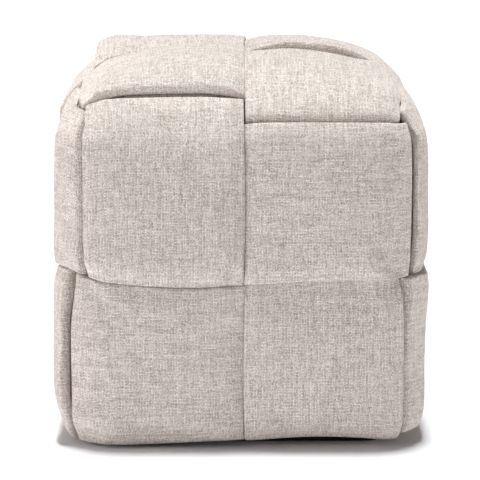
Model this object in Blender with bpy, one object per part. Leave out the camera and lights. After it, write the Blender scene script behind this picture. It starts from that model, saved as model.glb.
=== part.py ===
"""Cube pouf stool: six wide padded straps woven two by two over a foam cube.

Metres, +Z up, origin at the middle of the foot. The front looks along -Y.
Everything is placed by its level, the distance out from an inner box (the
skeleton), so a strap's rounding over an edge and its height over its
neighbour come from the same short tables.
"""

import math

import bpy
from mathutils import Vector

NAME = "cube_pouf_stool"

# Overall sizes.
WIDTH = 0.430
EDGE_HEIGHT = 0.418     # height of the top along its edges, before the crown
CROWN = 0.030           # how much higher the middle of the top stands
SEAM_Z = 0.194          # height of the seam between the two ring straps
SEAM_SHIFT_X = 0.005    # the front seam stands a little right of the middle

# Levels out from the skeleton box.
OUTER = 0.060           # level of a strap's face where it lies on top
CORE_LEVEL = 0.026      # level the straps lie at over the foam core
CORE_SKIN = 0.0245      # level of the core's own skin
INNER_HALF = WIDTH / 2 - OUTER
INNER_TOP = EDGE_HEIGHT - OUTER
CLEAR = 0.0018          # between a strap and the core
CROSS_CLEAR = 0.0034    # between two crossing straps

# Straps.
SEAM_HALF = 0.0016      # half the gap between two straps side by side
EDGE_ANGLE = math.radians(28.5)   # how far a strap reaches round an edge
TURN_ANGLE = math.radians(35.0)   # a strap starts to change level here
FOOT_OVER = 0.0065      # low edge of the lower ring where it lies on top
FOOT_UNDER = 0.0235     # and where it lies beneath
FOOT_REACH = SEAM_Z - FOOT_OVER   # the length of a lower quarter
BEND_Z = 0.030          # the upright straps start to turn under here
TUCK_TOP = 0.0195       # top of the straps' ends under the core
TUCK_LOW = 0.0088
TUCK_LEVEL = 0.003      # how far in the straps' ends reach

# Base panel and core.
PANEL_HALF = 0.176
PANEL_RADIUS = 0.030
PANEL_THICK = 0.008
STEP_HALF = 0.152       # the core's step down to the panel, inside the ends
CORE_LOW = 0.0206

# Foot draw-in and top crown, shared by every piece.
DRAW_IN = 0.045
DRAW_IN_HEIGHT = 0.050
CROWN_HALF = 0.190      # the crown fades out this far from the middle
CROWN_LOW = 0.250       # and between these heights
CROWN_FULL = 0.365

EDGE = INNER_HALF + OUTER * EDGE_ANGLE

# Where the shape bends most along a quarter of a face, 0 at the seam.
STATIONS = (0.0, 0.07, 0.20, 0.50, 0.80, 0.93, 1.0)
ACROSS = (0.07, 0.20, 0.50, 0.80, 0.93)
EDGE_ROUND = 0.0014     # where the rounded edge starts, in from the edge
EDGE_DROP = 0.0028

# Level of the surface between two crossing straps.
# Rows: place across the strap on top. Columns: place along it.
BETWEEN = {
    #          outer   mid     inner   foot
    "outer": (0.0450, 0.0535, 0.0385, 0.0430),
    "mid":   (0.0340, 0.0400, 0.0325, 0.0345),
    "inner": (0.0385, 0.0470, 0.0375, 0.0385),
    "foot":  (0.0370, 0.0400, 0.0360, 0.0360),
}
# Level of the face of the strap on top.
FACE = {
    #          outer   mid     inner   foot
    "outer": (0.0520, 0.0575, 0.0445, 0.0520),
    "mid":   (0.0565, 0.0600, 0.0475, 0.0575),
    "inner": (0.0530, 0.0605, 0.0430, 0.0530),
    "foot":  (0.0500, 0.0560, 0.0450, 0.0500),
}
COLUMNS = ("outer", "mid", "inner", "foot")
BETWEEN_EASE = 0.40     # share of the half quarter that stays level
FACE_EASE = 0.66

# Which family lies on top in each quarter: "A" runs front to back over the
# top, "B" side to side over the top, "C" rings round the sides.
# Keys: face, then the signs of the quarter along the face's two axes.
ON_TOP = {
    "front": {(-1, 1): "A", (1, 1): "C", (-1, -1): "C", (1, -1): "A"},   # x, z
    "back": {(-1, 1): "C", (1, 1): "A", (-1, -1): "A", (1, -1): "C"},    # x, z
    "right": {(-1, 1): "B", (1, 1): "C", (-1, -1): "C", (1, -1): "B"},   # y, z
    "left": {(-1, 1): "C", (1, 1): "B", (-1, -1): "B", (1, -1): "C"},    # y, z
    "top": {(-1, -1): "B", (1, -1): "A", (-1, 1): "A", (1, 1): "B"},     # x, y
}
FACE_AXES = {
    "front": (0, 2, 1, -1), "back": (0, 2, 1, 1),
    "right": (1, 2, 0, 1), "left": (1, 2, 0, -1), "top": (0, 1, 2, 1),
}   # two in-plane axes, outward axis, outward sign
# The faces each family runs over, in order, and its lateral axis.
LOOP = {
    "A": (("front", "top", "back"), 0),
    "B": (("left", "top", "right"), 1),
    "C": (("front", "right", "back", "left"), 2),
}


def smooth(value):
    value = min(1.0, max(0.0, value))
    return value * value * (3 - 2 * value)


def blend(share, ease, end):
    """Weights of the table's places at a share of a quarter, 0 at the seam."""
    where = 2 * share - 1
    rise = smooth((abs(where) - ease) / (1 - ease))
    edge = end if where > 0 else "inner"
    return ((edge, rise), ("mid", 1 - rise))


def from_table(table, ease, across, along):
    """across and along are (share, name of the outer end)."""
    total = 0.0
    for row, row_weight in blend(across[0], ease, across[1]):
        for column, weight in blend(along[0], ease, along[1]):
            total += row_weight * weight * table[row][COLUMNS.index(column)]
    return total


def seam_of(axis):
    return SEAM_Z if axis == 2 else 0.0


def inner_limit(axis, sign):
    """Where the flat part ends on this side of the skeleton box."""
    if axis == 2:
        return INNER_TOP if sign > 0 else 0.0
    return sign * INNER_HALF


def unrolled(axis, base, direction, outward):
    """Place along an axis, carried on round the rounding."""
    across = direction[axis]
    if abs(across) < 1e-9:
        return base[axis]
    angle = math.atan2(abs(across), abs(direction[outward]))
    return base[axis] + math.copysign(OUTER * angle, across)


def share_of(axis, sign, place):
    """0 at the seam, 1 at the outer edge of the straps."""
    reach = abs(place - seam_of(axis)) - SEAM_HALF
    if axis == 2:
        length = INNER_TOP + OUTER * EDGE_ANGLE - SEAM_Z if sign > 0 else FOOT_REACH
    else:
        length = EDGE
    return min(1.0, max(0.0, reach / (length - SEAM_HALF)))


def levels(family, face, quarter, base, direction):
    """Low and high level of a strap over one quarter of one face."""
    first, second, outward, _ = FACE_AXES[face]
    places = []
    for axis, sign in zip((first, second), quarter):
        end = "foot" if axis == 2 and sign < 0 else "outer"
        share = share_of(axis, sign, unrolled(axis, base, direction, outward))
        places.append((share, end))
    top = ON_TOP[face][quarter]
    lateral_axis = LOOP[top][1]
    across, along = places if first == lateral_axis else places[::-1]
    between = from_table(BETWEEN, BETWEEN_EASE, across, along)
    if top == family:
        return between + CROSS_CLEAR / 2, from_table(FACE, FACE_EASE, across, along)
    return CORE_LEVEL + CLEAR, between - CROSS_CLEAR / 2


def lay(base, direction, level):
    return Vector(base) + Vector(direction) * level


def crown_share(value):
    reach = min(1.0, abs(value) / CROWN_HALF)
    return (1 - reach ** 3.2) ** 1.3


def draw_in(point):
    """Common shape: foot drawn in, top crowned, seams off the middle."""
    x, y, z = point
    low = max(0.0, (DRAW_IN_HEIGHT - z) / DRAW_IN_HEIGHT)
    x, y = (value * (1 - DRAW_IN * low * low) for value in (x, y))
    rise = smooth((z - CROWN_LOW) / (CROWN_FULL - CROWN_LOW))
    z += CROWN * rise * crown_share(x) * crown_share(y)
    x += SEAM_SHIFT_X * max(0.0, 1 - (2 * x / WIDTH) ** 6)
    return Vector((x, y, z))


def lateral_place(axis, sign, share, low_edge):
    """Base coordinate and turn angle at a share of a strap's width."""
    if axis == 2 and sign < 0:
        low = SEAM_Z - SEAM_HALF - share * (SEAM_Z - SEAM_HALF - low_edge)
        return low, 0.0
    flat_end = abs(inner_limit(axis, sign) - seam_of(axis))
    reach = flat_end + OUTER * EDGE_ANGLE
    place = SEAM_HALF + share * (reach - SEAM_HALF)
    if place <= flat_end:
        return seam_of(axis) + sign * place, 0.0
    return inner_limit(axis, sign), (place - flat_end) / OUTER


def spot(lateral_axis, sign, share, run_base, run_dir, low_edge=FOOT_OVER):
    """Skeleton point and direction under one point of a section."""
    place, angle = lateral_place(lateral_axis, sign, share, low_edge)
    base, direction = [0.0] * 3, [0.0] * 3
    for axis in range(3):
        if axis == lateral_axis:
            base[axis] = place
            direction[axis] = sign * math.sin(angle)
        else:
            base[axis] = run_base[axis]
            direction[axis] = run_dir[axis] * math.cos(angle)
    return base, direction


def section(family, sign, run_base, run_dir, mix, low_edge=FOOT_OVER):
    """Closed ring of points round a strap at one place along it."""
    lateral_axis = LOOP[family][1]
    edge_share = EDGE_ROUND / FOOT_REACH

    def at(share):
        base, direction = spot(lateral_axis, sign, share, run_base, run_dir, low_edge)
        low = high = 0.0
        for weight, face, quarter in mix:
            pair = levels(family, face, quarter, base, direction)
            low += weight * pair[0]
            high += weight * pair[1]
        return base, direction, low, high

    points = []
    rim = [edge_share, *ACROSS, 1 - edge_share]
    for share in rim:
        base, direction, low, high = at(share)
        drop = EDGE_DROP if share in (rim[0], rim[-1]) else 0.0
        drop = min(drop, 0.3 * (high - low))
        points.append(lay(base, direction, high - drop))
    base, direction, low, high = at(1.0)
    points.append(lay(base, direction, (low + high) / 2))
    for share in reversed(ACROSS):
        base, direction, low, high = at(share)
        points.append(lay(base, direction, low))
    base, direction, low, high = at(0.0)
    points.append(lay(base, direction, (low + high) / 2))
    return points


def run_places(face, running_axis, side):
    """Stations along half of a face: (base coordinate, turn angle)."""
    if running_axis == 2 and side < 0:
        length = SEAM_Z - SEAM_HALF - BEND_Z
        return [(SEAM_Z - SEAM_HALF - share * length, 0.0) for share in STATIONS]
    flat_end = abs(inner_limit(running_axis, side) - seam_of(running_axis))
    reach = flat_end + OUTER * EDGE_ANGLE
    places = []
    for share in STATIONS:
        along = SEAM_HALF + share * (reach - SEAM_HALF)
        if along <= flat_end:
            places.append((seam_of(running_axis) + side * along, 0.0))
        else:
            places.append((inner_limit(running_axis, side), (along - flat_end) / OUTER))
    places.append((inner_limit(running_axis, side), TURN_ANGLE))
    return places


def quarter_for(face, lateral_axis, sign, side):
    first, second, _, _ = FACE_AXES[face]
    return (sign, side) if first == lateral_axis else (side, sign)


def half_face(family, sign, face, side):
    """Sections over half of a face, from the seam out."""
    lateral_axis = LOOP[family][1]
    first, second, outward, out_sign = FACE_AXES[face]
    running = second if first == lateral_axis else first
    quarter = quarter_for(face, lateral_axis, sign, side)
    under = family == "C" and ON_TOP[face][quarter] != "C"
    low_edge = FOOT_UNDER if under else FOOT_OVER
    rings = []
    for place, angle in run_places(face, running, side):
        base, direction = [0.0] * 3, [0.0] * 3
        base[running] = place
        base[outward] = inner_limit(outward, out_sign)
        direction[running] = side * math.sin(angle)
        direction[outward] = out_sign * math.cos(angle)
        mix = [(1.0, face, quarter)]
        rings.append(section(family, sign, base, direction, mix, low_edge))
    return rings


def corner(family, sign, face, side, next_face, next_side):
    """The one section half way round an edge."""
    lateral_axis = LOOP[family][1]
    _, _, outward, out_sign = FACE_AXES[face]
    _, _, next_outward, next_sign = FACE_AXES[next_face]
    base, direction = [0.0] * 3, [0.0] * 3
    for axis, value in ((outward, out_sign), (next_outward, next_sign)):
        base[axis] = inner_limit(axis, value)
        direction[axis] = value * math.sqrt(0.5)
    mix = [
        (0.5, face, quarter_for(face, lateral_axis, sign, side)),
        (0.5, next_face, quarter_for(next_face, lateral_axis, sign, next_side)),
    ]
    return section(family, sign, base, direction, mix, (FOOT_OVER + FOOT_UNDER) / 2)


# How an upright strap turns under at the foot. Shares of the strap's
# thickness taken off the outer face, and heights.
TURN_UNDER = (
    # outer share, outer z, inner back-off, inner z
    (0.05, 0.0200, 0.0000, 0.0245),
    (0.28, 0.0125, 0.0010, 0.0210),
    (0.66, 0.0094, 0.0035, 0.0198),
)


def foot_end(family, sign, face):
    """Sections of an upright strap's turn under the foot and its end."""
    lateral_axis = LOOP[family][1]
    _, _, outward, out_sign = FACE_AXES[face]
    quarter = quarter_for(face, lateral_axis, sign, -1)
    run_base, run_dir = [0.0] * 3, [0.0] * 3
    run_base[outward] = inner_limit(outward, out_sign)
    run_base[2] = BEND_Z
    run_dir[outward] = out_sign
    mid = (TUCK_TOP + TUCK_LOW) / 2

    def column(share):
        base, direction = spot(lateral_axis, sign, share, run_base, run_dir)
        low, high = levels(family, face, quarter, base, direction)
        return base, direction, low, high

    def put(share, level_of, z):
        base, direction, low, high = column(share)
        point = lay(base, direction, level_of(low, high))
        point[2] = z
        return point

    rings = []
    rim = [EDGE_ROUND / FOOT_REACH, *ACROSS, 1 - EDGE_ROUND / FOOT_REACH]
    for outer_share, outer_z, back_off, inner_z in TURN_UNDER:
        def outer(low, high):
            return high - outer_share * (high - low)

        def inner(low, high):
            return low - back_off

        def middle(low, high):
            return (outer(low, high) + inner(low, high)) / 2

        ring = []
        for share in rim:
            lift = 0.0012 if share in (rim[0], rim[-1]) else 0.0
            ring.append(put(share, outer, outer_z + lift))
        ring.append(put(1.0, middle, (outer_z + inner_z) / 2))
        ring += [put(share, inner, inner_z) for share in reversed(ACROSS)]
        ring.append(put(0.0, middle, (outer_z + inner_z) / 2))
        rings.append(ring)
    for level, squeeze in ((0.016, 0.0), (TUCK_LEVEL, 0.0012)):
        def flat(low, high):
            return level

        ring = []
        for share in rim:
            lift = 0.0012 if share in (rim[0], rim[-1]) else 0.0
            ring.append(put(share, flat, TUCK_LOW + lift + squeeze))
        ring.append(put(1.0, flat, mid))
        ring += [put(share, flat, TUCK_TOP - squeeze) for share in reversed(ACROSS)]
        ring.append(put(0.0, flat, mid))
        rings.append(ring)
    return rings


def path_sides(family, index):
    """The two halves of a face in running order: sign of the first half."""
    face = LOOP[family][0][index]
    if family in ("A", "B"):
        return (-1, 1) if face in ("front", "left", "top") else (1, -1)
    return (-1, 1) if face in ("front", "right") else (1, -1)


def strap_rings(family, sign):
    faces = LOOP[family][0]
    rings = []
    count = len(faces)
    closed = family == "C"
    for index, face in enumerate(faces):
        start, end = path_sides(family, index)
        inbound = half_face(family, sign, face, start)[::-1]
        outbound = half_face(family, sign, face, end)
        rings += inbound + outbound
        if closed or index + 1 < count:
            following = faces[(index + 1) % count]
            next_start = path_sides(family, (index + 1) % count)[0]
            rings.append(corner(family, sign, face, end, following, next_start))
    if not closed:
        rings = foot_end(family, sign, faces[0])[::-1] + rings
        rings += foot_end(family, sign, faces[-1])
    return rings, closed


def mesh_object(name, verts, faces, material, parent):
    mesh = bpy.data.meshes.new(name)
    mesh.from_pydata([tuple(v) for v in verts], [], faces)
    mesh.update()
    made = bpy.data.objects.new(name, mesh)
    mesh.materials.append(material)
    parent.objects.link(made)
    bpy.context.view_layer.objects.active = made
    made.select_set(True)
    bpy.ops.object.mode_set(mode="EDIT")
    bpy.ops.mesh.select_all(action="SELECT")
    bpy.ops.mesh.normals_make_consistent(inside=False)
    bpy.ops.object.mode_set(mode="OBJECT")
    made.select_set(False)
    return made


def loft(name, rings, closed, material, parent):
    """Join like rings of points into one closed skin."""
    size = len(rings[0])
    verts = [draw_in(point) for ring in rings for point in ring]
    faces = []
    steps = len(rings) if closed else len(rings) - 1
    for row in range(steps):
        here, there = row * size, ((row + 1) % len(rings)) * size
        for column in range(size):
            nxt = (column + 1) % size
            faces.append((here + column, here + nxt, there + nxt, there + column))
    if not closed:
        faces.append(tuple(range(size))[::-1])
        faces.append(tuple((len(rings) - 1) * size + column for column in range(size)))
    return mesh_object(name, verts, faces, material, parent)


def rounded_square(half, radius, z, steps=4):
    points = []
    for quarter in range(4):
        turn = math.pi / 2 * quarter
        for step in range(steps + 1):
            angle = turn + math.pi / 2 * step / steps
            cx = (half - radius) * math.copysign(1, math.cos(turn + math.pi / 4))
            cy = (half - radius) * math.copysign(1, math.sin(turn + math.pi / 4))
            x = cx + radius * math.cos(angle)
            y = cy + radius * math.sin(angle)
            points.append(Vector((x, y, z)))
    return points


def core(material, parent):
    """Foam cube with rounded edges, stepped down to the panel at the foot."""
    half = INNER_HALF + CORE_SKIN
    rings = [
        rounded_square(STEP_HALF, 0.012, PANEL_THICK + 0.0006),
        rounded_square(STEP_HALF, 0.012, CORE_LOW),
        rounded_square(half - 0.003, CORE_SKIN - 0.003, CORE_LOW),
        rounded_square(half, CORE_SKIN, CORE_LOW + 0.004),
        rounded_square(half, CORE_SKIN, DRAW_IN_HEIGHT),
        rounded_square(half, CORE_SKIN, INNER_TOP),
    ]
    for angle in (22, 44, 66, 86):
        turn = math.radians(angle)
        inset = CORE_SKIN * (1 - math.cos(turn))
        rings.append(rounded_square(half - inset, CORE_SKIN - inset,
                                    INNER_TOP + CORE_SKIN * math.sin(turn)))
    for share in (0.82, 0.62, 0.40, 0.16):
        rings.append(rounded_square(INNER_HALF * share, 0.004 * share,
                                    INNER_TOP + CORE_SKIN - 0.0003))
    return loft("core", rings, False, material, parent)


def base_panel(material, parent):
    edge = 0.0012
    rings = [
        rounded_square(PANEL_HALF - edge, PANEL_RADIUS - edge, 0.0),
        rounded_square(PANEL_HALF, PANEL_RADIUS, edge),
        rounded_square(PANEL_HALF, PANEL_RADIUS, PANEL_THICK - edge),
        rounded_square(PANEL_HALF - edge, PANEL_RADIUS - edge, PANEL_THICK),
    ]
    return loft("base_panel", rings, False, material, parent)


def plain(name, colour, roughness):
    material = bpy.data.materials.new(name)
    material.use_nodes = True
    shader = material.node_tree.nodes["Principled BSDF"]
    shader.inputs["Base Color"].default_value = (*colour, 1.0)
    shader.inputs["Roughness"].default_value = roughness
    material.diffuse_color = (*colour, 1.0)
    return material


# Straps: node name, family, sign along its lateral axis.
STRAPS = (
    ("strap_over_left", "A", -1),
    ("strap_over_right", "A", 1),
    ("strap_across_front", "B", -1),
    ("strap_across_back", "B", 1),
    ("strap_ring_lower", "C", -1),
    ("strap_ring_upper", "C", 1),
)


def build():
    for item in list(bpy.data.objects):
        bpy.data.objects.remove(item, do_unlink=True)
    parent = bpy.data.collections.new(NAME)
    bpy.context.scene.collection.children.link(parent)
    for name, family, sign in STRAPS:
        cloth = plain(name + "_cloth", (0.62, 0.55, 0.48), 0.9)
        rings, closed = strap_rings(family, sign)
        loft(name, rings, closed, cloth, parent)
    core(plain("core_cloth", (0.30, 0.27, 0.24), 0.95), parent)
    base_panel(plain("base_cloth", (0.03, 0.03, 0.035), 0.95), parent)


build()
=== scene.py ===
"""Looks of the cube pouf stool: the six padded straps, the core and the base."""
import math
from collections import namedtuple

import bmesh
import bpy
import numpy as np
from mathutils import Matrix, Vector


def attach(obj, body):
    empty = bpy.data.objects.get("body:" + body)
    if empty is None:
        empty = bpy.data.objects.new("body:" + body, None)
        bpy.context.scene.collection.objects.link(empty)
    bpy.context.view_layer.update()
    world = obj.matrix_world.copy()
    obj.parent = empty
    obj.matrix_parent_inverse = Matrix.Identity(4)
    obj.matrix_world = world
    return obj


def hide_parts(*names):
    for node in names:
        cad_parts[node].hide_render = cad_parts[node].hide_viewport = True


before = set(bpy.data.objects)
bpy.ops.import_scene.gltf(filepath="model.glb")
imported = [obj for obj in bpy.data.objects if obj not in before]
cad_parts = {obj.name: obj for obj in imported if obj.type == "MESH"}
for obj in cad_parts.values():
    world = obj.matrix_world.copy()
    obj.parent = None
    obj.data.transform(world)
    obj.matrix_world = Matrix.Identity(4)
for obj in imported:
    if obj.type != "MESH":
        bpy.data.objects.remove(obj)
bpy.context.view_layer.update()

# ---- sizes, metres ---------------------------------------------------------
WIDTH = 0.430            # over the straps, at the sides
EDGE_HEIGHT = 0.418      # of the top's edges
CROWN = 0.0345           # how much higher the cushioned top's middle stands
SEAM_Z = 0.196           # height of the seam between the two ring straps
SEAM_SHIFT_X = 0.005     # how far the upright seams lie to the right of the middle
OUTER = 0.060            # level of its plain sides, and radius of its edges
INNER_HALF = WIDTH / 2 - OUTER
INNER_TOP = EDGE_HEIGHT - OUTER
EDGE_ANGLE = math.radians(28.5)      # how far round the cube's edge a strap's outer edge lies
RISE_WINDOW = math.radians(11.5)     # turn in which a strap comes out from under another
RISE_MARGIN = math.radians(1.0)      # how much of that turn lies under the covering strap
SEAM_HALF = 0.0005       # half the gap between two straps side by side
CROSS_CLEAR = 0.0012     # gap between two crossing straps

# The straps' feet and the lower ring's low edge.
FOOT_ARCH = {"A": 0.0035, "B": 0.0015}       # how far a strap's foot arches up at its middle
FOOT_DROP = {"A": 0.0, "B": 0.0060}          # how much lower one pair's feet reach
FOOT_OVER = 0.0095       # height of the ring's low edge where it lies on top
FOOT_UNDER = 0.0235      # the same where it is tucked under an upright strap
FOOT_REACH = SEAM_Z - FOOT_OVER
TUCK_FROM, TUCK_SPAN = 0.55, 0.45    # share of covering in which the low edge rises
# How far the lower ring's edge sags below its height at the seams, by corner
# (signs of x and y).
RING_SAG = {(-1, -1): 0.0055, (1, -1): -0.0050, (1, 1): 0.0030, (-1, 1): -0.0030}
SAG_REACH = 0.15         # distance from a seam at which the sag is whole
SAG_EASE = 0.024         # stretch over which the sag is evened out along the ring
EDGE_EASE = 0.022        # the same for a strap's outer edge
BEND_Z = 0.030           # where the upright straps begin to turn under
TUCK_TOP = 0.0195        # top of the part that is turned under
TUCK_LOW = 0.0088        # and its bottom
TUCK_LENGTH = 0.006      # of cloth used by each ring of the turn under
DRAW_IN = 0.036          # share by which the foot narrows at the floor
DRAW_IN_HEIGHT = 0.050
# The turn under. Columns: share of the thickness taken off outside, height
# outside, back-off inside, height inside.
TURN_UNDER = (
    (0.010, 0.0255, 0.0000, 0.0280),
    (0.035, 0.0215, 0.0000, 0.0262),
    (0.090, 0.0175, 0.0003, 0.0245),
    (0.180, 0.0143, 0.0008, 0.0228),
    (0.300, 0.0120, 0.0014, 0.0214),
    (0.450, 0.0104, 0.0022, 0.0205),
    (0.640, 0.0095, 0.0034, 0.0199),
)
# The hidden end behind it. Columns: level, how much thinner it is on each side.
HIDDEN_END = ((0.018, 0.0), (0.010, 0.0), (0.003, 0.0012))

# The cushioned top.
CROWN_HALF = 0.190       # from the middle to where the crown has died away
CROWN_FLAT, CROWN_FALL = 3.2, 1.3            # powers that shape how it dies away
CROWN_LOW, CROWN_FULL = 0.250, 0.365         # heights between which it comes in

# The core and the base panel.
CORE_LEVEL = 0.026       # level that the covered straps lie on
CLEAR = 0.0012           # how far above it their backs stay
CORE_SKIN = 0.0245       # level of the core's own sides, and radius of its edges
CORE_LOW = 0.0206        # height of its underside beside the straps' ends
CORE_TRIM, CORE_TRIM_HEIGHT = 0.003, 0.004   # the slant of its lower edge
CORE_TOP_RADIUS, CORE_TOP_DIP = 0.004, 0.0003        # of the flat rings on its top
CORE_GAP = 0.0006        # gap between its foot and the base panel
STEP_HALF, STEP_RADIUS = 0.152, 0.012        # the core's narrower foot
PANEL_HALF, PANEL_RADIUS, PANEL_THICK = 0.176, 0.030, 0.008
PANEL_EDGE = 0.0016      # rounding of the panel's edge

# A strap's section and how finely it is lofted.
INNER_ROUND, OUTER_ROUND = 0.0030, 0.0052    # radii of a strap's padded edges
BOXED = 2.7              # how square those edges are: 2 is round
RIM_ANGLES = (10, 24, 38, 52, 66, 79)        # points round an edge, degrees
FACE_POINTS, BACK_POINTS = 44, 18            # points across the flat of the face and the back
STEP_ALONG = 0.0040
SEAM_STEP = 0.0008       # closer steps across a seam
TURN_STEPS = 36          # round each of the cube's edges
DIVE_BEFORE, DIVE_AFTER = 0.0018, 0.0050     # where a dive starts and ends, from the seam
RIPPLE_LENGTH, RIPPLE_HEIGHT = 0.11, 0.0006  # soft unevenness of the pillows
RIPPLE_WIDTH = 0.18      # strap width that the unevenness is laid out on

# The filling: pressure under the cloth simulation, on a coarser copy of a strap.
COARSE_ROWS, COARSE_COLUMNS = 3, 3           # the copy keeps one in so many
COARSE_LEAST = 12        # but at least this many rows
SWELL_CAP = 0.0035       # the most that the filling moves a point
SWELL_FRAMES = 16
FILLING = {
    "quality": 6,
    "mass": 0.25,
    "tension_stiffness": 12.0,
    "compression_stiffness": 12.0,
    "shear_stiffness": 6.0,
    "bending_stiffness": 1.5,
    "use_pressure": True,
    "uniform_pressure_force": 4.0,
}

# Level of the surface between crossing straps, and of the face on top.
# Rows: place across the strap on top. Columns: place along it.
COLUMNS = ("outer", "mid", "inner", "foot")
BETWEEN = {
    "outer": (0.0440, 0.0515, 0.0450, 0.0430),
    "mid":   (0.0360, 0.0410, 0.0400, 0.0345),
    "inner": (0.0450, 0.0520, 0.0500, 0.0430),
    "foot":  (0.0370, 0.0400, 0.0390, 0.0360),
}
FACE = {
    "outer": (0.0560, 0.0618, 0.0545, 0.0560),
    "mid":   (0.0588, 0.0608, 0.0572, 0.0590),
    "inner": (0.0565, 0.0602, 0.0565, 0.0560),
    "foot":  (0.0545, 0.0585, 0.0535, 0.0530),
}
# Where one pillow stands higher or lower than its fellows, metres added to its face.
# Rows: face, quarter. Columns: the place across, the place along, how much.
LIFTS = {
    ("top", (-1, -1)): (("outer", "mid", 0.0050), ("outer", "inner", 0.0010), ("inner", "outer", 0.0065),
                        ("mid", "outer", 0.0040)),
    ("top", (-1, 1)): (("outer", "mid", 0.0160), ("outer", "inner", 0.0120),
                       ("outer", "outer", 0.0120), ("mid", "mid", 0.0015),
                       ("inner", "mid", 0.0015)),
    ("top", (1, 1)): (("inner", "mid", 0.0020), ("mid", "mid", 0.0025), ("inner", "inner", -0.0080),
                      ("mid", "outer", -0.0020), ("outer", "outer", -0.0080),
                      ("inner", "outer", -0.0050)),
    ("top", (1, -1)): (("mid", "inner", -0.0070), ("inner", "inner", -0.0105), ("outer", "inner", 0.0060),
                       ("mid", "mid", -0.0040), ("inner", "mid", -0.0030)),
    ("front", (-1, 1)): (("mid", "inner", 0.0020), ("outer", "inner", 0.0010)),
    ("front", (1, 1)): (("inner", "mid", 0.0025), ("inner", "inner", 0.0015)),
    ("front", (1, -1)): (("mid", "inner", -0.0040), ("outer", "inner", -0.0035),
                         ("inner", "inner", -0.0025)),
    ("front", (-1, -1)): (("foot", "outer", 0.0010),),
    ("left", (-1, 1)): (("inner", "mid", 0.0035), ("mid", "mid", -0.0020), ("outer", "mid", -0.0065),
                        ("inner", "outer", 0.0020)),
    ("left", (-1, -1)): (("outer", "mid", 0.0035), ("mid", "mid", 0.0010), ("outer", "inner", 0.0050),
                         ("mid", "inner", 0.0025), ("outer", "foot", -0.0045), ("mid", "foot", -0.0040)),
    ("left", (1, 1)): (("inner", "outer", 0.0065), ("mid", "outer", 0.0045), ("mid", "mid", -0.0045),
                       ("inner", "mid", -0.0030)),
    ("right", (-1, -1)): (("inner", "mid", 0.0060), ("inner", "outer", 0.0040)),
    ("right", (-1, 1)): (("mid", "mid", 0.0025), ("outer", "mid", 0.0015)),
    ("right", (1, 1)): (("outer", "mid", -0.0070), ("outer", "outer", -0.0060), ("outer", "inner", -0.0040)),
    ("back", (-1, 1)): (("mid", "mid", 0.0020),),
    ("back", (1, -1)): (("inner", "mid", 0.0025),),
}
# The same for the surface between two crossing straps, below.
SINKS = {
    ("top", (1, 1)): (("inner", "mid", -0.0100), ("inner", "inner", -0.0080)),
}
# How far round the cube's edge a strap's outer edge lies, degrees, by the quarter in
# which the strap is on top.
EDGES = {
    ("front", (-1, 1)): 29.0, ("front", (1, 1)): 27.5, ("front", (1, -1)): 33.0,
    ("left", (-1, -1)): 33.0, ("left", (-1, 1)): 46.0, ("left", (1, 1)): 35.0,
    ("right", (-1, 1)): 38.0, ("right", (1, -1)): 38.0, ("right", (1, 1)): 28.0,
    ("back", (-1, 1)): 32.0, ("back", (1, 1)): 32.0, ("back", (-1, -1)): 36.0,
    ("top", (-1, -1)): 21.5, ("top", (1, -1)): 29.0, ("top", (-1, 1)): 22.0, ("top", (1, 1)): 34.0,
}
# Where the weaving has pulled the straps aside together.
# Columns: the middle of the pull, how far it moves the straps, its reach.
PULLS = (
    ((-0.205, -0.190, 0.186), (0.0055, 0.000, 0.0000), 0.032),
    ((-0.212, -0.170, 0.205), (0.000, 0.000, 0.0150), 0.060),
    ((0.210, -0.175, 0.200), (0.000, 0.000, 0.0075), 0.055),
    ((0.110, -0.215, 0.196), (0.000, 0.000, 0.0055), 0.070),
    ((-0.060, -0.215, 0.194), (0.000, 0.000, -0.0030), 0.050),
    ((-0.120, 0.215, 0.200), (0.000, 0.000, 0.0070), 0.070),
    ((0.090, 0.215, 0.190), (0.004, 0.000, -0.0060), 0.070),
    ((0.215, 0.080, 0.200), (0.000, 0.003, 0.0080), 0.070),
    ((-0.215, 0.110, 0.190), (0.000, -0.004, -0.0060), 0.070),
    ((0.000, -0.215, 0.300), (0.0015, 0.000, 0.0000), 0.060),
    ((0.000, -0.215, 0.090), (-0.0015, 0.000, 0.0000), 0.060),
    ((0.000, 0.215, 0.310), (0.0050, 0.000, 0.0000), 0.070),
    ((-0.135, 0.120, 0.440), (0.000, 0.000, 0.0090), 0.055),
    ((0.005, 0.100, 0.445), (0.0030, 0.000, 0.0000), 0.060),
    ((0.215, 0.000, 0.100), (0.000, 0.0050, 0.0000), 0.070),
    ((-0.215, 0.000, 0.310), (0.000, -0.0050, 0.0000), 0.070),
)
# Share of a pillow that keeps its middle's level, before it eases to its edges.
BETWEEN_EASE = 0.45
LIFT_EASE = 0.30
FACE_EASE_ACROSS, FACE_EASE_ALONG = 0.74, 0.78

# Which family of straps lies on top, by face and quarter (signs of the face's two
# axes). A runs front to back, B side to side, C round the four sides.
ON_TOP = {
    "front": {(-1, 1): "A", (1, 1): "C", (-1, -1): "C", (1, -1): "A"},
    "back": {(-1, 1): "C", (1, 1): "A", (-1, -1): "A", (1, -1): "C"},
    "right": {(-1, 1): "B", (1, 1): "C", (-1, -1): "C", (1, -1): "B"},
    "left": {(-1, 1): "C", (1, 1): "B", (-1, -1): "B", (1, -1): "C"},
    "top": {(-1, -1): "B", (1, -1): "A", (-1, 1): "A", (1, 1): "B"},
}
# Each face's two axes, its outward axis and that axis's sign.
FACE_AXES = {
    "front": (0, 2, 1, -1), "back": (0, 2, 1, 1),
    "right": (1, 2, 0, 1), "left": (1, 2, 0, -1), "top": (0, 1, 2, 1),
}
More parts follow.
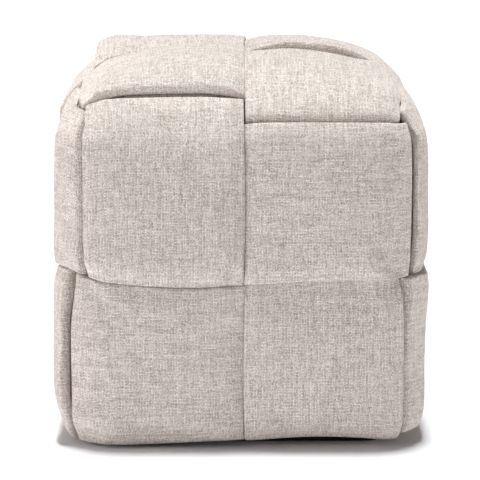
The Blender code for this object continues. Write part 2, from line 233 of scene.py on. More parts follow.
# The faces that a family's straps cross, in order, and the axis across their width.
LOOP = {
    "A": (("front", "top", "back"), 0),
    "B": (("left", "top", "right"), 1),
    "C": (("front", "right", "back", "left"), 2),
}


# ---- shape -----------------------------------------------------------------
def smooth(value):
    """Eases from 0 to 1."""
    value = np.clip(value, 0.0, 1.0)
    return value * value * (3 - 2 * value)


def ripple(along, across, seed, size, strength, waves=6):
    """Gentle seeded unevenness, a few crossed waves."""
    rng = np.random.default_rng(seed)
    total = 0.0
    for _ in range(waves):
        angle, phase = rng.uniform(0, 2 * math.pi, 2)
        pace = 2 * math.pi / (size * rng.uniform(0.7, 1.6))
        total = total + np.sin(pace * (along * math.cos(angle) + across * math.sin(angle)) + phase)
    return strength * total / math.sqrt(waves)


def eased(values, runs, reach):
    """A moving average along a strap."""
    nearness = np.clip(1 - np.abs(runs[:, None] - runs[None, :]) / reach, 0, 1)
    return nearness @ values / nearness.sum(1)


def weights(share, ease, end):
    """How much each place of a table counts, at shares of the way over a pillow."""
    where = 2 * share - 1
    rise = smooth((np.abs(where) - ease) / (1 - ease))
    outer = np.where(where > 0, rise, 0.0)
    inner = np.where(where > 0, 0.0, rise)
    return {end: outer, "mid": 1 - rise, "inner": inner}


def from_table(table, across, along, ease_across, ease_along):
    """A level read smoothly from a table, both ways over a pillow."""
    total = 0.0
    rows = weights(across[0], ease_across, across[1])
    columns = weights(along[0], ease_along, along[1])
    for row, row_weight in rows.items():
        for column, weight in columns.items():
            total = total + row_weight * weight * table[row][COLUMNS.index(column)]
    return total


def seam_of(axis):
    """Where the seam lies along an axis."""
    return SEAM_Z if axis == 2 else 0.0


def inner_limit(axis, sign):
    """Where a flat face ends along an axis and the cube's edge begins to turn."""
    if axis == 2:
        return INNER_TOP if sign > 0 else 0.0
    return sign * INNER_HALF


def edge_angle(face, quarter):
    """How far round the cube's edge a pillow's outer edge lies."""
    return math.radians(EDGES[face, quarter]) if (face, quarter) in EDGES else EDGE_ANGLE


def share_of(axis, sign, base, direction, outward, edge):
    """0 at the seam, 1 at the outer edge of the straps."""
    across = direction[..., axis]
    angle = np.arctan2(np.abs(across), np.abs(direction[..., outward]) + 1e-12)
    place = base[..., axis] + np.sign(across) * OUTER * angle
    reach = sign * (place - seam_of(axis)) - SEAM_HALF
    if axis == 2 and sign < 0:
        length = FOOT_REACH
    else:
        length = abs(inner_limit(axis, sign) - seam_of(axis)) + OUTER * edge
    return np.clip(reach / (length - SEAM_HALF), 0.0, 1.0)


def levels(family, face, quarter, base, direction):
    """The back and the face of a family's strap in one quarter, as levels over the core."""
    first, second, outward, _ = FACE_AXES[face]
    top = ON_TOP[face][quarter]
    places = []
    for axis, sign in zip((first, second), quarter):
        end = "foot" if axis == 2 and sign < 0 else "outer"
        edge = edge_angle(face, quarter) if axis == LOOP[top][1] else EDGE_ANGLE
        places.append((share_of(axis, sign, base, direction, outward, edge), end))
    across, along = places if first == LOOP[top][1] else places[::-1]
    between = from_table(BETWEEN, across, along, BETWEEN_EASE, BETWEEN_EASE)
    rows = weights(across[0], LIFT_EASE, across[1])
    columns = weights(along[0], LIFT_EASE, along[1])
    for row, column, amount in SINKS.get((face, quarter), ()):
        between = between + rows[row] * columns[column] * amount
    if top != family:
        return np.full_like(between, CORE_LEVEL + CLEAR), between - CROSS_CLEAR / 2
    high = from_table(FACE, across, along, FACE_EASE_ACROSS, FACE_EASE_ALONG)
    for row, column, amount in LIFTS.get((face, quarter), ()):
        high = high + rows[row] * columns[column] * amount
    return between + CROSS_CLEAR / 2, high


def crown_share(value):
    """1 over the middle of the top, falling to 0 at its sides."""
    reach = np.minimum(1.0, np.abs(value) / CROWN_HALF)
    return (1 - reach ** CROWN_FLAT) ** CROWN_FALL


def common_shape(points):
    """What the whole cube has in common: drawn-in foot, crown, shifted seams, pulls."""
    points = np.array(points, dtype=float)
    x, y, z = points[..., 0], points[..., 1], points[..., 2]
    low = np.clip((DRAW_IN_HEIGHT - z) / DRAW_IN_HEIGHT, 0, None)
    x, y = x * (1 - DRAW_IN * low * low), y * (1 - DRAW_IN * low * low)
    rise = smooth((z - CROWN_LOW) / (CROWN_FULL - CROWN_LOW))
    z = z + CROWN * rise * crown_share(x) * crown_share(y)
    x = x + SEAM_SHIFT_X * np.clip(1 - (2 * x / WIDTH) ** 6, 0, None)
    points = np.stack([x, y, z], -1)
    moved = points.copy()
    for middle, amount, reach in PULLS:
        away = ((points - np.array(middle)) ** 2).sum(-1) / reach ** 2
        moved += np.exp(-away)[..., None] * np.array(amount)
    return moved


# ---- stations along a strap ------------------------------------------------
# The run is the way along the strap. A point at level h is base + h * direction.
# Quarters: weight, face, quarter, for each pillow that the station belongs to.
Station = namedtuple("Station", "run base direction quarters")


def run_values(low, high, seam):
    """Even steps along a face, closer together across the seam."""
    plain = np.linspace(low, high, int(abs(high - low) / STEP_ALONG) + 1)
    close = seam + np.arange(-6, 10) * SEAM_STEP * (1 if high > low else -1)
    close = np.concatenate([close, 2 * seam - close])
    kept = plain[np.abs(plain - seam) > np.abs(close - seam).max() + STEP_ALONG / 3]
    every = np.unique(np.round(np.concatenate([kept, close]), 6))
    return every if high > low else every[::-1]


def start_side(family, face):
    """The side of a face from which a strap comes, as a sign."""
    if family == "C":
        return -1 if face in ("front", "right") else 1
    return -1 if face in ("front", "left", "top") else 1


def quarter_at(family, sign, face, side):
    """The quarter of a face that a strap crosses on one side."""
    across_first = FACE_AXES[face][0] == LOOP[family][1]
    return (sign, side) if across_first else (side, sign)


def face_run(family, face):
    """The axis a strap follows on a face, and where it starts and ends there."""
    first, second, _, _ = FACE_AXES[face]
    running = second if first == LOOP[family][1] else first
    start = start_side(family, face)
    low, high = inner_limit(running, start), inner_limit(running, -start)
    if running == 2 and start < 0:
        low = BEND_Z
    if running == 2 and start > 0:
        high = BEND_Z
    return running, low, high


def face_stations(family, sign, face, run):
    """Across one face. The strap starts to dive just before the seam it goes under at."""
    _, _, outward, out_sign = FACE_AXES[face]
    running, low, high = face_run(family, face)
    quarters = {side: quarter_at(family, sign, face, side) for side in (-1, 1)}
    way = 1 if ON_TOP[face][quarters[-1]] == family else -1
    rows = []
    for value in run_values(low, high, seam_of(running)):
        off = value - seam_of(running)
        mix = float(smooth(np.array((off * way + DIVE_BEFORE) / (DIVE_BEFORE + DIVE_AFTER))))
        base, direction = np.zeros(3), np.zeros(3)
        base[running], base[outward] = value, inner_limit(outward, out_sign)
        direction[outward] = out_sign
        rows.append(Station(run + abs(value - low), base, direction,
                            [(1 - mix, face, quarters[-way]), (mix, face, quarters[way])]))
    return rows, run + abs(high - low)


def turn_stations(family, sign, face, following, run):
    """Round the cube's edge from one face to the following one."""
    _, _, outward, out_sign = FACE_AXES[face]
    _, _, next_outward, next_sign = FACE_AXES[following]
    quarter = quarter_at(family, sign, face, -start_side(family, face))
    next_quarter = quarter_at(family, sign, following, start_side(family, following))
    if ON_TOP[face][quarter] != family:
        opens = edge_angle(face, quarter) - RISE_MARGIN
    else:
        opens = math.pi / 2 - edge_angle(following, next_quarter) - RISE_WINDOW + RISE_MARGIN
    rows = []
    for step in range(1, TURN_STEPS):
        angle = math.pi / 2 * step / TURN_STEPS
        mix = float(smooth(np.array((angle - opens) / RISE_WINDOW)))
        base, direction = np.zeros(3), np.zeros(3)
        base[outward] = inner_limit(outward, out_sign)
        base[next_outward] = inner_limit(next_outward, next_sign)
        direction[outward] = out_sign * math.cos(angle)
        direction[next_outward] = next_sign * math.sin(angle)
        rows.append(Station(run + OUTER * angle, base, direction,
                            [(1 - mix, face, quarter), (mix, following, next_quarter)]))
    return rows, run + OUTER * math.pi / 2


def stations(family, sign, closed):
    """A strap's stations in order, and its whole run."""
    faces = LOOP[family][0]
    rows, run = [], 0.0
    for index, face in enumerate(faces):
        more, run = face_stations(family, sign, face, run)
        rows += more
        if closed or index + 1 < len(faces):
            more, run = turn_stations(family, sign, face, faces[(index + 1) % len(faces)], run)
            rows += more
    return rows, run


def covered_shares(rows, family):
    """How much of a strap is under another one at each station, 0 to 1."""
    under = np.zeros(len(rows))
    for index, row in enumerate(rows):
        under[index] = sum(weight for weight, face, quarter in row.quarters
                           if ON_TOP[face][quarter] != family)
    return under


def edge_places(rows, family, closed, runs, under):
    """Along a strap: the outer edge's angle round the cube, and the low edge's height."""
    edges, sag = np.zeros(len(rows)), np.zeros(len(rows))
    for index, row in enumerate(rows):
        for weight, face, quarter in row.quarters:
            own = ON_TOP[face][quarter] == family
            edges[index] += weight * (edge_angle(face, quarter) if own else EDGE_ANGLE)
        if closed:
            beside = min(abs(row.base[0]), abs(row.base[1]))
            corner = (1 if row.base[0] > 0 else -1, 1 if row.base[1] > 0 else -1)
            sag[index] = RING_SAG[corner] * float(smooth(np.array(beside / SAG_REACH)))
    tucked = smooth((under - TUCK_FROM) / TUCK_SPAN)
    low_edges = FOOT_OVER + (FOOT_UNDER - FOOT_OVER) * tucked
    low_edges = low_edges - eased(sag, runs, SAG_EASE) * (1 - tucked)
    return eased(edges, runs, EDGE_EASE), low_edges


# ---- sections across a strap -----------------------------------------------
def section_shares():
    """Shares of the width on the face, round the rims, and on the back."""
    inner, outer = INNER_ROUND / FOOT_REACH, OUTER_ROUND / FOOT_REACH
    near = 1 - np.sin(np.radians(RIM_ANGLES))
    first, last = inner * near[::-1], 1 - outer * near
    face = np.concatenate([first, np.linspace(inner, 1 - outer, FACE_POINTS), last])
    back = np.concatenate([first, np.linspace(inner, 1 - outer, BACK_POINTS), last])
    return face, back[::-1]


def rim_curve(shares):
    """1 on the flat of a section, falling to 0 at its two edges."""
    inner = np.clip(1 - shares * FOOT_REACH / INNER_ROUND, 0, 1)
    outer = np.clip(1 - (1 - shares) * FOOT_REACH / OUTER_ROUND, 0, 1)
    depth = np.maximum(inner, outer)
    return np.clip(1 - depth ** BOXED, 0, 1) ** (1 / BOXED)


def padded_section(low, high, is_face, curve):
    """From the back to the face of a section, rounded at its rims."""
    middle = (low + high) / 2
    return np.where(is_face, middle + (high - middle) * curve, middle - (middle - low) * curve)


def lateral(axis, sign, share, low_edge, edge):
    """Base coordinates and turn angles at shares of the width."""
    if axis == 2 and sign < 0:
        place = SEAM_Z - SEAM_HALF - share * (SEAM_Z - SEAM_HALF - low_edge)
        return place, np.zeros_like(place)
    flat_end = abs(inner_limit(axis, sign) - seam_of(axis))
    reach = flat_end + OUTER * edge
    place = SEAM_HALF + share * (reach - SEAM_HALF)
    angle = np.clip(place - flat_end, 0, None) / OUTER
    base = seam_of(axis) + sign * np.minimum(place, flat_end)
    return base, angle


def strap_levels(rows, family, base, direction):
    """The levels of a strap's back and face all over it."""
    low, high = np.zeros(base.shape[:2]), np.zeros(base.shape[:2])
    pillows = {}
    for index, row in enumerate(rows):
        for weight, face, quarter in row.quarters:
            if weight > 0:
                pillows.setdefault((face, quarter), []).append((index, weight))
    for (face, quarter), entries in pillows.items():
        picks = np.array([entry[0] for entry in entries])
        share = np.array([entry[1] for entry in entries])[:, None]
        pair = levels(family, face, quarter, base[picks], direction[picks])
        low[picks] += share * pair[0]
        high[picks] += share * pair[1]
    return low, high


def foot_rings(family, base, direction, low, high, is_face, curve, shares):
    """The rings of a strap's end, turned under at the foot."""
    rings = []
    shift = FOOT_ARCH[family] * np.sin(math.pi * shares) ** 2 - FOOT_DROP[family]
    for off, outer_z, back_off, inner_z in TURN_UNDER:
        outer = high - off * (high - low)
        level = padded_section(low - back_off, outer, is_face, curve)
        z = padded_section(inner_z, outer_z, is_face, curve)
        z = z + shift * (BEND_Z - outer_z) / (BEND_Z - TURN_UNDER[-1][1]) * is_face
        ring = base + direction * level[:, None]
        ring[:, 2] = z
        rings.append(ring)
    for level, squeeze in HIDDEN_END:
        ring = base + direction * level
        ring[:, 2] = padded_section(TUCK_TOP - squeeze, TUCK_LOW + squeeze, is_face, curve)
        rings.append(ring)
    return rings


# ---- meshes ----------------------------------------------------------------
def loft_mesh(name, rings, closed):
    """A mesh of quads between rings, with end caps where it isn't closed."""
    count, width = rings.shape[:2]
    faces = []
    for row in range(count if closed else count - 1):
        here, there = row * width, ((row + 1) % count) * width
        for column in range(width):
            after = (column + 1) % width
            faces.append((here + column, here + after, there + after, there + column))
    if not closed:
        faces.append(tuple(range(width))[::-1])
        faces.append(tuple((count - 1) * width + column for column in range(width)))
    mesh = bpy.data.meshes.new(name)
    mesh.from_pydata(rings.reshape(-1, 3).tolist(), [], faces)
    mesh.polygons.foreach_set("use_smooth", [True] * len(mesh.polygons))
    return mesh


def lay_map(mesh, rings, closed, runs, length, middle):
    """The map of a strap's cloth, in metres along and across it."""
    count, width = rings.shape[:2]
    steps = count if closed else count - 1
    row_of, column_of = np.repeat(np.arange(steps), width), np.tile(np.arange(width), steps)
    next_row = (row_of + 1) % count
    run_here = runs[row_of]
    run_next = np.where(row_of + 1 < count, runs[next_row], length)
    sides = np.linalg.norm(np.roll(rings, -1, axis=1) - rings, axis=2)
    across = np.concatenate([np.zeros((count, 1)), np.cumsum(sides, axis=1)], axis=1)
    across = across - across[:, middle:middle + 1]
    corners = (
        (run_here, across[row_of, column_of]),
        (run_here, across[row_of, column_of + 1]),
        (run_next, across[next_row, column_of + 1]),
        (run_next, across[next_row, column_of]),
    )
    places = np.stack([np.stack(corner, -1) for corner in corners], 1).reshape(-1, 2)
    if not closed:
        places = np.concatenate([places, np.zeros((2 * width, 2))])
    layer = mesh.uv_layers.new(name="cloth")
    layer.data.foreach_set("uv", places.astype(np.float32).ravel())


def as_object(name, mesh):
    """An object in the scene, its faces turned outwards."""
    bm = bmesh.new()
    bm.from_mesh(mesh)
    bmesh.ops.recalc_face_normals(bm, faces=bm.faces)
    bm.to_mesh(mesh)
    bm.free()
    return in_scene(name, mesh)


def in_scene(name, data):
    """An object made from a mesh, a light or a camera, and linked."""
    made = bpy.data.objects.new(name, data)
    bpy.context.scene.collection.objects.link(made)
    return made


def strap_mesh(name, family, sign, seed):
    """A whole strap: lofted, filled and mapped."""
    closed = family == "C"
    rows, length = stations(family, sign, closed)
    axis = LOOP[family][1]
    face_shares, back_shares = section_shares()
    shares = np.concatenate([face_shares, [1.0], back_shares, [0.0]])
    is_face = np.arange(len(shares)) < len(face_shares)
    count, width = len(rows), len(shares)
    runs = np.array([row.run for row in rows])
    under = covered_shares(rows, family)
    edges, low_edges = edge_places(rows, family, closed, runs, under)
    base, direction = np.zeros((count, width, 3)), np.zeros((count, width, 3))
    for index, row in enumerate(rows):
        place, angle = lateral(axis, sign, shares, low_edges[index], edges[index])
        base[index] = row.base
        direction[index] = row.direction[None, :] * np.cos(angle)[:, None]
        base[index, :, axis] = place
        direction[index, :, axis] = sign * np.sin(angle)
    low, high = strap_levels(rows, family, base, direction)
    waves = ripple(runs[:, None], shares[None, :] * RIPPLE_WIDTH, seed, RIPPLE_LENGTH, RIPPLE_HEIGHT)
    high = high + (1 - under[:, None]) * waves
    curve = rim_curve(shares)
    level = padded_section(low, high, is_face, curve)
    rings = list(base + direction * level[..., None])
    if not closed:
        head, tail = (foot_rings(family, base[end], direction[end], low[end], high[end],
                                 is_face, curve, shares) for end in (0, -1))
        rings = head[::-1] + rings + tail
        turned = TUCK_LENGTH * np.arange(1, len(head) + 1)
        runs = np.concatenate([(runs[0] - turned)[::-1], runs, runs[-1] + turned])
    rings = common_shape(np.array(rings))
    ends = (len(rings) - count) // 2
    shows = np.zeros(len(rings))
    shows[ends:ends + count] = 1 - under
    rings = swell(name, rings, closed, shows, is_face, curve)
    mesh = loft_mesh(name, rings, closed)
    lay_map(mesh, rings, closed, runs, length, len(face_shares) // 2)
    return as_object(name, mesh)


def swell(name, rings, closed, shows, is_face, curve):
    """Lets pressure fill a strap under Blender's cloth, on a coarser copy of it.

    What shows moves, up to SWELL_CAP; what is hidden is pinned.
    """
    count, width = rings.shape[:2]
    row_picks = np.unique(np.linspace(0, count - 1, max(COARSE_LEAST, count // COARSE_ROWS)).astype(int))
    column_picks = np.arange(0, width, COARSE_COLUMNS)
    coarse = rings[row_picks][:, column_picks]
    free = np.outer(shows, np.where(is_face, curve, 0.0))
    made = as_object(name + "_fill", loft_mesh(name + "_fill", coarse, closed))
    pinned = made.vertex_groups.new(name="held")
    for index, share in enumerate(free[row_picks][:, column_picks].ravel()):
        pinned.add([index], float(1 - share), "REPLACE")
    moved = filled_shape(made, coarse.shape) - coarse
    bpy.data.objects.remove(made)
    far = np.linalg.norm(moved, axis=2, keepdims=True)
    moved = moved * (SWELL_CAP * np.tanh(far / SWELL_CAP) / np.maximum(far, 1e-9))
    by_row = np.empty((count, len(column_picks), 3))
    for column in range(len(column_picks)):
        for axis in range(3):
            by_row[:, column, axis] = np.interp(np.arange(count), row_picks, moved[:, column, axis])
    fine = np.empty((count, width, 3))
    for row in range(count):
        for axis in range(3):
            fine[row, :, axis] = np.interp(np.arange(width), column_picks, by_row[row, :, axis])
    return rings + fine * smooth(free)[..., None]


def filled_shape(made, shape):
    """Where the cloth simulation leaves the points of a coarse strap."""
    cloth = made.modifiers.new("cloth", "CLOTH")
    for setting, value in FILLING.items():
        setattr(cloth.settings, setting, value)
    cloth.settings.vertex_group_mass = "held"
    cloth.settings.effector_weights.gravity = 0.0
    cloth.collision_settings.use_collision = False
    cloth.point_cache.frame_start, cloth.point_cache.frame_end = 1, SWELL_FRAMES
    scene = bpy.context.scene
    for frame_number in range(1, SWELL_FRAMES + 1):
        scene.frame_set(frame_number)
    found = made.evaluated_get(bpy.context.evaluated_depsgraph_get())
    after = np.zeros(shape[0] * shape[1] * 3, np.float32)
    found.data.vertices.foreach_get("co", after)
    scene.frame_set(1)
    return after.reshape(shape)


def rounded_square(half, radius, z, steps=8):
    """A ring round a square with rounded corners."""
    points = []
    for quarter in range(4):
        turn = math.pi / 2 * quarter
        for step in range(steps + 1):
            angle = turn + math.pi / 2 * step / steps
            cx = (half - radius) * math.copysign(1, math.cos(turn + math.pi / 4))
            cy = (half - radius) * math.copysign(1, math.sin(turn + math.pi / 4))
            points.append((cx + radius * math.cos(angle), cy + radius * math.sin(angle), z))
    return points


def plain_loft(name, rings):
    """A hidden piece, lofted and not filled."""
    return as_object(name, loft_mesh(name, common_shape(np.array(rings)), False))


def core_mesh():
    """The foam cube in its plain cloth."""
    half = INNER_HALF + CORE_SKIN
    rings = [
        rounded_square(STEP_HALF, STEP_RADIUS, PANEL_THICK + CORE_GAP),
        rounded_square(STEP_HALF, STEP_RADIUS, CORE_LOW),
        rounded_square(half - CORE_TRIM, CORE_SKIN - CORE_TRIM, CORE_LOW),
        rounded_square(half, CORE_SKIN, CORE_LOW + CORE_TRIM_HEIGHT),
        rounded_square(half, CORE_SKIN, DRAW_IN_HEIGHT),
        rounded_square(half, CORE_SKIN, INNER_TOP),
    ]
    for angle in (15, 30, 45, 60, 75, 87):
        turn = math.radians(angle)
        inset = CORE_SKIN * (1 - math.cos(turn))
        rings.append(rounded_square(half - inset, CORE_SKIN - inset,
                                    INNER_TOP + CORE_SKIN * math.sin(turn)))
    for share in (0.82, 0.62, 0.40, 0.16):
        rings.append(rounded_square(INNER_HALF * share, CORE_TOP_RADIUS * share,
                                    INNER_TOP + CORE_SKIN - CORE_TOP_DIP))
    return plain_loft("core_looks", rings)


def panel_mesh():
    """The base panel, with softened edges."""
    edge = PANEL_EDGE
    rings = [
        rounded_square(PANEL_HALF - edge, PANEL_RADIUS - edge, 0.0),
        rounded_square(PANEL_HALF - edge * 0.3, PANEL_RADIUS - edge * 0.3, edge * 0.4),
        rounded_square(PANEL_HALF, PANEL_RADIUS, edge * 1.2),
        rounded_square(PANEL_HALF, PANEL_RADIUS, PANEL_THICK - edge),
        rounded_square(PANEL_HALF - edge, PANEL_RADIUS - edge, PANEL_THICK),
    ]
    return plain_loft("base_looks", rings)


# ---- cloth -----------------------------------------------------------------
YARN = 0.0018            # pitch of the yarns, metres
LIGHT = (0.98, 0.902, 0.846, 1.0)
DARK = (0.335, 0.275, 0.235, 1.0)
WANDER, WANDER_PACE = 0.0018, 70.0   # how far the yarns stray, and how often per metre
ARCH = 0.7               # how flat a yarn's back is: 1 is a plain sine
# Pace of each noise along a yarn and from yarn to yarn.
TONE_PACE, TONE_STEP = 90.0, 1.73
BAND_PACE, BAND_STEP = 24.0, 1.37
SLUB_PACE, SLUB_ACROSS = 130.0, 800.0
NUB_PACE = 900.0
# What a point's tone is made of, in shares. The height share is painted light: the yarns' crowns are lighter
# than their sides.
TONE_SHARE, CROSSING_SHARE, NUB_SHARE, HEIGHT_SHARE = 0.44, 0.28, 0.10, 0.18
TONE_LOW, TONE_HIGH = 0.28, 0.72
BAND_ALONG, BAND_ACROSS = 0.62, 0.38
BAND_LOW, BAND_HIGH = 0.41, 0.59
BAND_MIX = 0.20          # how much the bands of thicker yarns show
SLUB_LOW, SLUB_HIGH = 0.58, 0.72
SLUB_MIX = 0.45          # how much the slubs show
GAP_SHADE = 0.14         # painted shade: how much darker it is down between the yarns
RELIEF_HEIGHT, RELIEF_SLUB, RELIEF_NUB = 0.6, 0.4, 0.9
STRAP_LOOKS = {
    "Roughness": 0.92,
    "Specular IOR Level": 0.12,
    "Sheen Weight": 0.15,
    "Sheen Roughness": 0.6,
    "Sheen Tint": (0.95, 0.92, 0.88, 1.0),
}
FLAT_LOOKS = {"Roughness": 0.95, "Specular IOR Level": 0.1}


class Nodes:
    """A node material, with short ways to add and join its nodes."""

    def __init__(self, name):
        self.material = bpy.data.materials.new(name)
        self.material.use_nodes = True
        self.tree = self.material.node_tree
        self.tree.nodes.clear()

    def add(self, kind, **settings):
        node = self.tree.nodes.new(kind)
        for key, value in settings.items():
            setattr(node, key, value)
        return node

    def link(self, start, end):
        self.tree.links.new(start, end)

    def put(self, socket, value):
        if isinstance(value, bpy.types.NodeSocket):
            self.link(value, socket)
        else:
            socket.default_value = value

    def math(self, operation, first, second=None):
        node = self.add("ShaderNodeMath", operation=operation)
        self.put(node.inputs[0], first)
        if second is not None:
            self.put(node.inputs[1], second)
        return node.outputs[0]

    def times(self, first, second):
        return self.math("MULTIPLY", first, second)

    def plus(self, first, second):
        return self.math("ADD", first, second)

    def vector(self, x, y, z=0.0):
        node = self.add("ShaderNodeCombineXYZ")
        for socket, value in zip(node.inputs, (x, y, z)):
            self.put(socket, value)
        return node.outputs[0]

    def noise(self, vector, scale, detail=2.0, roughness=0.5):
        node = self.add("ShaderNodeTexNoise")
        node.noise_dimensions = "3D"
        self.link(vector, node.inputs["Vector"])
        node.inputs["Scale"].default_value = scale
        node.inputs["Detail"].default_value = detail
        node.inputs["Roughness"].default_value = roughness
        return node.outputs["Fac"]

    def ramp(self, value, low, high):
        node = self.add("ShaderNodeMapRange")
        node.interpolation_type = "SMOOTHSTEP"
        self.put(node.inputs["Value"], value)
        node.inputs["From Min"].default_value = low
        node.inputs["From Max"].default_value = high
        return node.outputs["Result"]

    def mix_value(self, factor, first, second):
        # the sockets for plain values are numbers 2 and 3
        node = self.add("ShaderNodeMix", data_type="FLOAT")
        self.put(node.inputs[0], factor)
        self.put(node.inputs[2], first)
        self.put(node.inputs[3], second)
        return node.outputs[0]

    def mix_colour(self, factor, first, second, kind="MIX"):
        # the sockets for colours are numbers 6 and 7
        node = self.add("ShaderNodeMix", data_type="RGBA", blend_type=kind)
        self.put(node.inputs[0], factor)
        self.put(node.inputs[6], first)
        self.put(node.inputs[7], second)
        return node.outputs[2]

    def finish(self, colour, relief, strength, depth, looks):
        """The cloth's shader, from a colour, a relief, and the values of its other inputs."""
        bump = self.add("ShaderNodeBump")
        bump.inputs["Strength"].default_value = strength
        bump.inputs["Distance"].default_value = depth
        self.link(relief, bump.inputs["Height"])
        shader = self.add("ShaderNodeBsdfPrincipled")
        self.link(colour, shader.inputs["Base Color"])
        for name, value in looks.items():
            shader.inputs[name].default_value = value
        self.link(bump.outputs["Normal"], shader.inputs["Normal"])
        out = self.add("ShaderNodeOutputMaterial")
        self.link(shader.outputs[0], out.inputs["Surface"])
        return self.material


def strap_cloth(name, offset):
    """Chunky plain weave in heathered, nubby yarns with short pale slubs."""
    n = Nodes(name)
    uv = n.add("ShaderNodeUVMap", uv_map="cloth")
    split = n.add("ShaderNodeSeparateXYZ")
    n.link(uv.outputs["UV"], split.inputs[0])
    u, v = split.outputs["X"], split.outputs["Y"]

    def stray(first, second, layer):
        """Yarns do not run dead straight."""
        noise = n.noise(n.vector(first, second, offset + layer), WANDER_PACE)
        return n.plus(first, n.times(n.math("SUBTRACT", noise, 0.5), WANDER))

    def streaks(x, x_pace, y, y_pace, layer=0.0):
        """Noise drawn out one way, by the pace along each axis. Layers keep noises apart."""
        return n.noise(n.vector(n.times(x, x_pace), n.times(y, y_pace), offset + layer), 1.0, 1.0)

    us, vs = stray(u, v, 0.0), stray(v, u, 3.1)
    yarn_u, yarn_v = n.math("DIVIDE", us, YARN), n.math("DIVIDE", vs, YARN)
    row, column = n.math("FLOOR", yarn_v), n.math("FLOOR", yarn_u)
    # 1 where the yarn along the strap shows, 0 where the one across does
    parity = n.math("PINGPONG", n.plus(row, column), 1.0)
    arch_u = n.math("SINE", n.times(n.math("FRACT", yarn_u), math.pi))
    arch_v = n.math("SINE", n.times(n.math("FRACT", yarn_v), math.pi))
    height = n.times(n.math("POWER", arch_u, ARCH), n.math("POWER", arch_v, ARCH))

    # tone of each yarn along its length, of each crossing, and of the fibres
    along_tone = streaks(us, TONE_PACE, row, TONE_STEP)
    across_tone = streaks(column, TONE_STEP, vs, TONE_PACE, 7.7)
    tone = n.mix_value(parity, across_tone, along_tone)
    crossing = n.add("ShaderNodeTexWhiteNoise", noise_dimensions="3D")
    half_u, half_v = n.math("FLOOR", n.times(yarn_u, 2.0)), n.math("FLOOR", n.times(yarn_v, 2.0))
    n.link(n.vector(half_u, half_v, offset), crossing.inputs["Vector"])
    nub = n.noise(n.vector(us, vs, offset + 2.2), NUB_PACE, 1.0)
    total = n.times(tone, TONE_SHARE)
    total = n.plus(total, n.times(crossing.outputs["Value"], CROSSING_SHARE))
    total = n.plus(total, n.times(nub, NUB_SHARE))
    # painted light: the crowns of the yarns are lighter, by their height
    total = n.plus(total, n.times(height, HEIGHT_SHARE))
    base = n.mix_colour(n.ramp(total, TONE_LOW, TONE_HIGH), DARK, LIGHT)

    # thicker yarns stand out as fine lines, both ways
    band_u = streaks(us, BAND_PACE, row, BAND_STEP)
    band_v = streaks(column, BAND_STEP, vs, BAND_PACE, 4.0)
    band = n.plus(n.times(band_u, BAND_ALONG), n.times(band_v, BAND_ACROSS))
    band = n.ramp(band, BAND_LOW, BAND_HIGH)
    base = n.mix_colour(BAND_MIX, base, n.mix_colour(band, DARK, LIGHT))

    # short pale slubs, both ways
    slub_u = n.ramp(streaks(us, SLUB_PACE, vs, SLUB_ACROSS, 1.3), SLUB_LOW, SLUB_HIGH)
    slub_v = n.ramp(streaks(us, SLUB_ACROSS, vs, SLUB_PACE, 5.9), SLUB_LOW, SLUB_HIGH)
    slub = n.math("MAXIMUM", slub_u, slub_v)
    base = n.mix_colour(n.times(slub, SLUB_MIX), base, LIGHT)

    # painted shade: darker down between the yarns
    shade = n.plus(n.times(n.ramp(height, 0.0, 0.8), GAP_SHADE), 1 - GAP_SHADE)
    grey = n.add("ShaderNodeCombineColor")
    for socket in grey.inputs:
        n.put(socket, shade)
    base = n.mix_colour(1.0, base, grey.outputs[0], "MULTIPLY")

    relief = n.plus(n.times(height, RELIEF_HEIGHT), n.times(slub, RELIEF_SLUB))
    relief = n.plus(relief, n.times(nub, RELIEF_NUB))
    return n.finish(base, relief, strength=0.8, depth=0.0010, looks=STRAP_LOOKS)


def flat_cloth(name, colour, scale):
    """Plain dull cloth for the hidden pieces."""
    n = Nodes(name)
    coords = n.add("ShaderNodeTexCoord")
    grain = n.noise(coords.outputs["Object"], scale, 3.0, 0.6)
    dark = tuple(0.8 * value for value in colour)
    base = n.mix_colour(grain, dark + (1.0,), colour + (1.0,))
    return n.finish(base, grain, strength=0.4, depth=0.0004, looks=FLAT_LOOKS)


# ---- pieces ----------------------------------------------------------------
# Columns: node, family, side, seed of its unevenness and of its yarns.
STRAPS = (
    ("strap_over_left", "A", -1, 11),
    ("strap_over_right", "A", 1, 12),
    ("strap_across_front", "B", -1, 13),
    ("strap_across_back", "B", 1, 14),
    ("strap_ring_lower", "C", -1, 15),
    ("strap_ring_upper", "C", 1, 16),
)
for node, family, sign, seed in STRAPS:
    piece = strap_mesh(node + "_looks", family, sign, seed)
    piece.data.materials.append(strap_cloth(node + "_cloth", 1.37 * seed))
    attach(piece, "root")
    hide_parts(node)
core = core_mesh()
core.data.materials.append(flat_cloth("core_plain_cloth", (0.34, 0.30, 0.26), 900.0))
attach(core, "root")
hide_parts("core")
panel = panel_mesh()
panel.data.materials.append(flat_cloth("base_dust_cloth", (0.022, 0.022, 0.026), 1400.0))
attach(panel, "root")
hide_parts("base_panel")

# ---- floor, light, camera --------------------------------------------------
FLOOR_HALF = 30.0
WARM = (1.0, 0.965, 0.945)
SUN_DIRECTION = Vector((0.01, -0.07, -1.0))
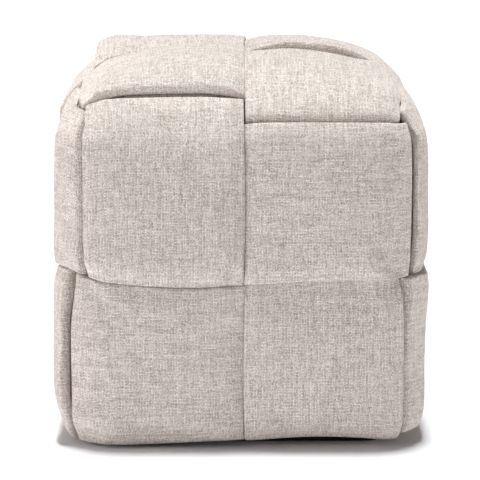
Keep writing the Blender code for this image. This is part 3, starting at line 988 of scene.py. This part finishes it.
# Area lights. Columns: name, width, height, watts, place, aim.
SOFT_BOXES = (
    ("soft_left", 2.2, 1.8, 42.0, (-2.55, -1.15, 0.80), (0.0, 0.0, 0.2)),
    ("soft_right", 2.0, 0.9, 12.0, (2.5, -0.5, 0.5), (0.0, 0.0, 0.1)),
)
# The camera looks at a point on the cube's axis, from REACH away and RISE above.
SENSOR, LENS = 36.0, 211.1
REACH, RISE, AIM_HEIGHT = 3.447, math.radians(10.80), 0.2090


def facing(direction):
    """The turn that points a light along a direction."""
    return direction.to_track_quat("-Z", "Y").to_euler()


floor_mesh = bpy.data.meshes.new("floor")
corners = [(x * FLOOR_HALF, y * FLOOR_HALF, 0.0) for x, y in ((-1, -1), (1, -1), (1, 1), (-1, 1))]
floor_mesh.from_pydata(corners, [], [(0, 1, 2, 3)])
pale = Nodes("floor_pale")
diffuse = pale.add("ShaderNodeBsdfDiffuse")
diffuse.inputs["Color"].default_value = (0.885, 0.885, 0.905, 1.0)
pale.link(diffuse.outputs[0], pale.add("ShaderNodeOutputMaterial").inputs["Surface"])
floor_mesh.materials.append(pale.material)
floor = in_scene("floor", floor_mesh)

world = bpy.data.worlds.new("studio")
world.use_nodes = True
sky = world.node_tree.nodes["Background"]
sky.inputs["Color"].default_value = WARM + (1.0,)
sky.inputs["Strength"].default_value = 0.095
bpy.context.scene.world = world

sun = in_scene("soft_top", bpy.data.lights.new("soft_top", "SUN"))
sun.data.energy = 4.55
sun.data.color = (0.970, 0.985, 0.990)
sun.data.angle = math.radians(10)
sun.rotation_euler = facing(SUN_DIRECTION)
for name, width, height, watts, place, aim in SOFT_BOXES:
    light = in_scene(name, bpy.data.lights.new(name, "AREA"))
    light.data.shape = "RECTANGLE"
    light.data.size, light.data.size_y = width, height
    light.data.energy = watts
    light.data.color = WARM
    light.location = place
    light.rotation_euler = facing(Vector(aim) - light.location)

camera = in_scene("camera", bpy.data.cameras.new("camera"))
camera.data.sensor_width = SENSOR
camera.data.lens = LENS
camera.data.clip_end = 200.0
camera.location = (0.0, -REACH * math.cos(RISE), AIM_HEIGHT + REACH * math.sin(RISE))
camera.rotation_euler = (math.pi / 2 - RISE, 0.0, 0.0)
bpy.context.scene.camera = camera
bpy.context.scene.view_settings.view_transform = "Standard"
